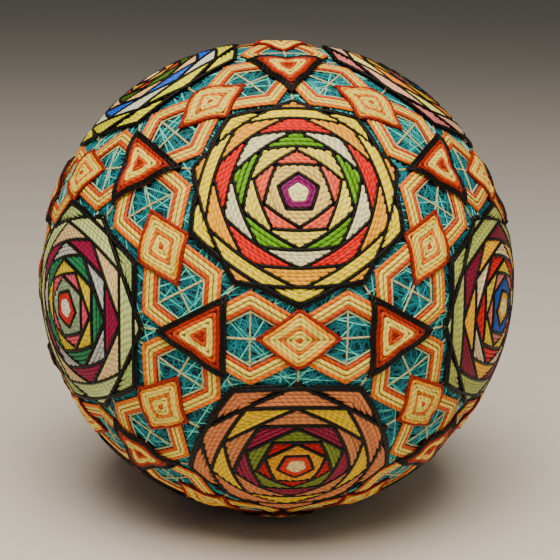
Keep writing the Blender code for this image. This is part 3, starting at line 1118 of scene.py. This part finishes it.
def reach_of(apothem, layer, sides):
    """Half the length of a row along +X that a pentagon with a corner there holds."""
    across = np.linspace(0, sides[-1], REACH_SAMPLES)
    row = turned(np.column_stack([bowed(apothem, across), across]), corner_turn(layer))
    inside = within(row, layer, sides)
    return across[inside].max() if inside.any() else 0.0


def point_row(apothem, layer, other, sides):
    """A row along two sides of a pentagon to the corner at +X, as far as another pentagon shows it."""
    half = apothem * HALF_SIDE
    across = spread_out(-half, half)[:-1]
    across = across[across > 0]
    side = np.column_stack([bowed(apothem, across), across])
    side = turned(side, -FIFTH / 2)
    kept = ~within(turned(side, corner_turn(layer)), other, sides)
    side = side[kept]
    corner = np.array([[side[-1, 0] + CORNER_OUT * END_LENGTH / BALL_RADIUS, 0.0]])
    return np.concatenate([side, corner, side[::-1] * (1, -1)])


# %% [markdown]
# A rose is thicker towards its middle, where all its pentagons overlap. So the level of a thread
# follows from how far out it lies, and `Rose` asks for it at every point.

# %% Lay threads round a rose's middle
ROSE_LOW, ROSE_DOME = 0.72 * MM, 0.34 * MM
ROSE_EDGE = 22.0
DRIFT_REACH = tan(17)


def rose_level(rays, middle):
    """Lower towards the edge of the rose."""
    out = np.degrees(np.arccos(np.clip(rays @ middle, -1, 1)))
    return ROSE_LOW + ROSE_DOME * np.clip(1 - out / ROSE_EDGE, 0, 1)


class Rose(Threads):
    """One rose's threads, drawn on its plane."""

    def __init__(self, name, axes, drift):
        super().__init__(f"rose_thread_{name}")
        self.axes, self.drift = axes, drift

    def onto_ball(self, points):
        points = np.asarray(points, float) + rng.normal(0, WOBBLE / BALL_RADIUS, 2)
        out = np.hypot(points[:, 0], points[:, 1])[:, None]
        return cast(points + self.drift * np.clip(1 - out / DRIFT_REACH, 0, 1), self.axes)

    def lift(self, extra):
        return lambda rays: rose_level(rays, self.axes[:, 2]) + extra

    def ring(self, distance, layer, dye, extra=0.0, **shape):
        """A whole pentagon."""
        corner = [tan(distance) * CORNER_REACH, 0.0]
        corners = [turned(corner, corner_turn(layer) + fifth * FIFTH) for fifth in range(5)]
        loop(self, self.onto_ball(corners), self.lift(extra), dye, **shape)

    def petals(self, line, layer, dye, extra=0.0, **shape):
        """The same row in each of a pentagon's five corners."""
        for fifth in range(5):
            rays = self.onto_ball(turned(line, corner_turn(layer) + fifth * FIFTH))
            place(self, rays, self.lift(extra), dye, **shape)


# %% [markdown]
# A whole rose begins with flat black padding that hides the winding and shows as painted shade in
# the gaps between rows. Then come the filled middle, the coloured petals from the inside out, and
# the black row of every pentagon. The black rows lie a little above the coloured ones, because they
# are stitched last and hide the coloured ends. Most roses have a second black row outside; the two
# on top show only one.

# %% Stitch one rose
ROW = 0.8
BLACK_HALF = 0.36
BLACK_LIFT = 0.13 * MM
BLACK_WIDTH = {TEN: 0.64 * MM, SMALL_TEN: 0.64 * MM, NINE: 0.74 * MM}
BORDER_GAP = 0.56
BORDER_DROP = -0.05 * MM
SINGLE_BORDERED = ("top_left", "top_right")
ROSE_WIDTH = 0.84 * MM
DISC_ROWS, RING_ROWS = (0.3, 0.95, 1.6), (2.3, 2.95)
TIP_GAP = 0.3
PADDING_SPACING = 2.2
PADDING_INSET = 1.0
SHADE_PADDING = {"width": 2.4 * MM, "height": 0.18 * MM, "extra": -0.25 * MM}


def spaced(first, last):
    """Distances of rows that fill the room between two distances."""
    count = max(1, round((last - first) / ROW))
    return first + (last - first) * (np.arange(count) + 0.5) / count


def stitch_rose(name, axes, layers, dyes, tip_dye, drift):
    """All rows of one rose."""
    threads = Rose(name, axes, drift)
    sides = [0.0, *(tan(distance) for distance in layers)]
    last = len(layers)
    coloured = {"width": ROSE_WIDTH}
    black = {"width": BLACK_WIDTH[layers], "extra": BLACK_LIFT}
    disc, ring, *petal_dyes = [dyed(*dye) for dye in dyes]
    # Black padding under the rows: painted shade in the gaps between them.
    for distance in np.arange(PADDING_INSET, layers[-2] - PADDING_INSET / 2, PADDING_SPACING):
        threads.ring(distance, last, BLACK, **SHADE_PADDING)
    for layer in (last - 1, last):
        side = tan(layers[layer - 1] - PADDING_INSET)
        threads.petals(crossbar(side, side * HALF_SIDE), layer + 1, BLACK, **SHADE_PADDING)
    for distances, dye in ((DISC_ROWS, disc), (RING_ROWS, ring)):
        for distance in distances:
            threads.ring(distance, 1, dye, **coloured)
    for layer, dye in enumerate(petal_dyes[:-1], 2):
        tip = math.degrees(math.atan(sides[layer] * CORNER_REACH))
        for distance in spaced(layers[layer - 2] + BLACK_HALF, min(layers[layer], tip) - BLACK_HALF):
            half = reach_of(tan(distance), layer, sides)
            threads.petals(crossbar(tan(distance), half), layer, dye, **coloured)
    shortest = (bowed(sides[-2], 0) + tan(BLACK_HALF)) / CORNER_REACH
    for distance in np.arange(layers[-1] - BLACK_HALF - ROW / 2, math.degrees(math.atan(shortest)), -ROW):
        threads.petals(point_row(tan(distance), last, last - 1, sides), last, petal_dyes[-1], **coloured)
    tip = math.degrees(math.atan(sides[-2] * CORNER_REACH))
    for distance in np.arange(layers[-1] + BLACK_HALF + ROW / 2, tip - TIP_GAP, ROW):
        half = reach_of(tan(distance), last - 1, sides)
        threads.petals(crossbar(tan(distance), half), last - 1, dyed(*tip_dye), **coloured)
    for layer in range(1, last + 1):
        half = sides[layer] * HALF_SIDE
        if layer < last - 1:
            half = min(half, reach_of(sides[layer], layer + 1, sides))
        half += END_LENGTH / BALL_RADIUS
        threads.petals(crossbar(sides[layer], half), layer + 1, BLACK, **black)
    bordered = () if name in SINGLE_BORDERED else ((last - 1, last), (last, last - 1))
    for layer, other in bordered:
        border = point_row(tan(layers[layer - 1] + BORDER_GAP), layer, other, sides)
        threads.petals(border, layer, BLACK, width=BLACK_WIDTH[layers], extra=BORDER_DROP)
    piece = woven(threads, embroidery)
    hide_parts(f"rose_{name}")


# %% [markdown]
# No hand gets the middle quite central, so each rose's inner pentagons drift a little to one side.
# The four roses that show best drift as they do in the photograph, and the others at random.

# %% Stitch all twelve roses
RANDOM_DRIFT = 0.25
DRIFTS = {
    # name: degrees to the right and up
    "front_high": (0.0, -0.7),
    "front_low": (0.9, -0.9),
    "side_left_front": (-3.2, 0.0),
    "side_right_front": (3.6, -0.2),
}
for name, axes in rose_axes.items():
    drift = rng.normal(0, tan(RANDOM_DRIFT), 2)
    if name in DRIFTS:
        right, up = DRIFTS[name]
        drift = axes[:, :2].T @ np.array([tan(right), 0, tan(up)])
    stitch_rose(name, axes, *ROSE_DYES[name], drift)
